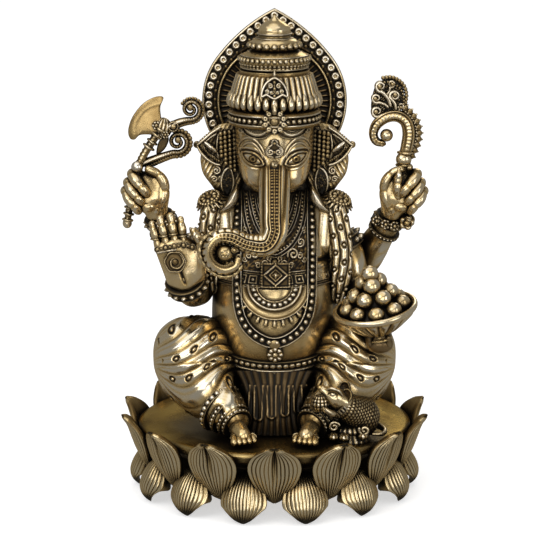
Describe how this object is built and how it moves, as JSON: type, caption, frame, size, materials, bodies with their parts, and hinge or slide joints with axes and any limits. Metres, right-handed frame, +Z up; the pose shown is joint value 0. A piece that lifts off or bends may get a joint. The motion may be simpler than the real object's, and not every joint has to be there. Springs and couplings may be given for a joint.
{
  "type": "hindu deity statue",
  "caption": "Seated four-armed elephant-headed figure in antiqued cast brass with crown and halo, on an open two-row lotus base.",
  "frame": {"origin": "middle of the lotus base, on the surface that the statue stands on", "axes": "+Z up; the figure faces -Y; the figure's right hand side is -X"},
  "size_m": [0.1628, 0.1668, 0.2545],
  "materials": {
    "antique_brass": "polished high spots over black-brown patina in the recesses",
    "petal_brass": "satin brass with chased lines darkened by patina",
    "deck_brass": "smooth polished brass, brown towards its edge",
    "zinc_steel": "zinc plated"
  },
  "bodies": {
    "root": {"lotus_drum": "deck_brass", "upper_petal_01": "petal_brass", "upper_petal_02": "petal_brass", "upper_petal_03": "petal_brass", "upper_petal_04": "petal_brass", "upper_petal_05": "petal_brass", "upper_petal_06": "petal_brass", "upper_petal_07": "petal_brass", "upper_petal_08": "petal_brass", "upper_petal_09": "petal_brass", "upper_petal_10": "petal_brass", "upper_petal_11": "petal_brass", "upper_petal_12": "petal_brass", "upper_petal_13": "petal_brass", "upper_petal_14": "petal_brass", "lower_petal_01": "petal_brass", "lower_petal_02": "petal_brass", "lower_petal_03": "petal_brass", "lower_petal_04": "petal_brass", "lower_petal_05": "petal_brass", "lower_petal_06": "petal_brass", "lower_petal_07": "petal_brass", "lower_petal_08": "petal_brass", "lower_petal_09": "petal_brass", "lower_petal_10": "petal_brass", "lower_petal_11": "petal_brass", "lower_petal_12": "petal_brass", "lower_petal_13": "petal_brass", "lower_petal_14": "petal_brass", "torso": "antique_brass", "right_leg": "antique_brass", "left_leg": "antique_brass", "dhoti_pleats": "antique_brass", "head": "antique_brass", "trunk": "antique_brass", "trunk_sweet": "antique_brass", "right_ear": "antique_brass", "left_ear": "antique_brass", "crown": "antique_brass", "halo": "antique_brass", "rear_right_arm": "antique_brass", "rear_left_arm": "antique_brass", "front_right_arm": "antique_brass", "front_left_arm": "antique_brass", "axe": "antique_brass", "goad": "antique_brass", "sweet_bowl": "antique_brass", "sweets_heap": "antique_brass", "mouse": "antique_brass", "base_stud": "zinc_steel", "base_washer": "zinc_steel", "base_nut": "zinc_steel", "halo_screw": "zinc_steel"}
  },
  "joints": []
}
